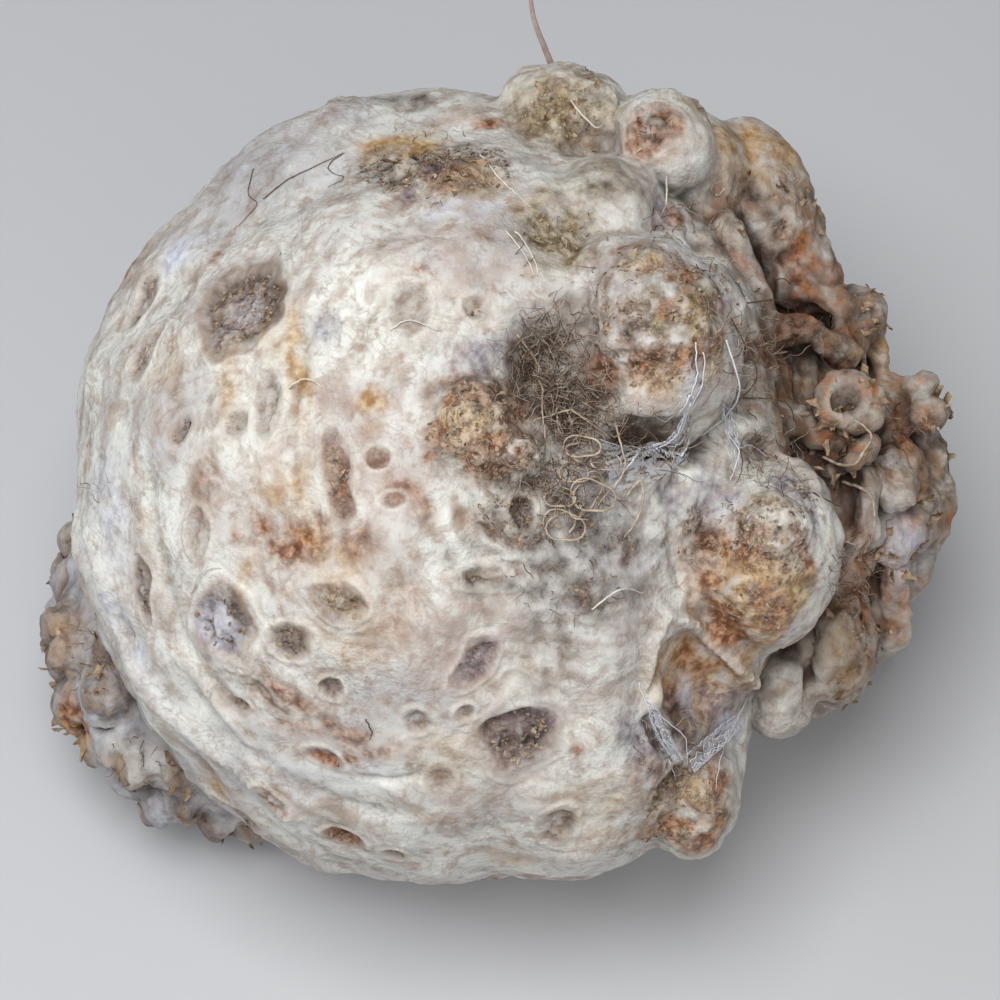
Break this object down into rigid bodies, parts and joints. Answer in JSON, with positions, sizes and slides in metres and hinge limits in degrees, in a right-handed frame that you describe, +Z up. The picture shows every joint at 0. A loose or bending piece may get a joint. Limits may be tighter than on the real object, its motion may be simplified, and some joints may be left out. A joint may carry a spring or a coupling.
{
  "type": "celeriac root",
  "caption": "Whole celeriac root lying on its crown rim, with knobs, root stubs, a hollow cut stub, wrinkles and scarred skin.",
  "frame": {"origin": "middle of the flat resting spot under the bulb, on the surface that the root lies on", "axes": "+Z up, +X along the longest extent from the crown towards the root stubs, and the knobbly face looks towards -Y and +Z"},
  "size_m": [0.1289, 0.107, 0.1031],
  "materials": {
    "root_skin": "dull dry cream root skin with rust, olive and grey-brown scars"
  },
  "bodies": {
    "root": {"celeriac_root": "root_skin"}
  },
  "joints": []
}
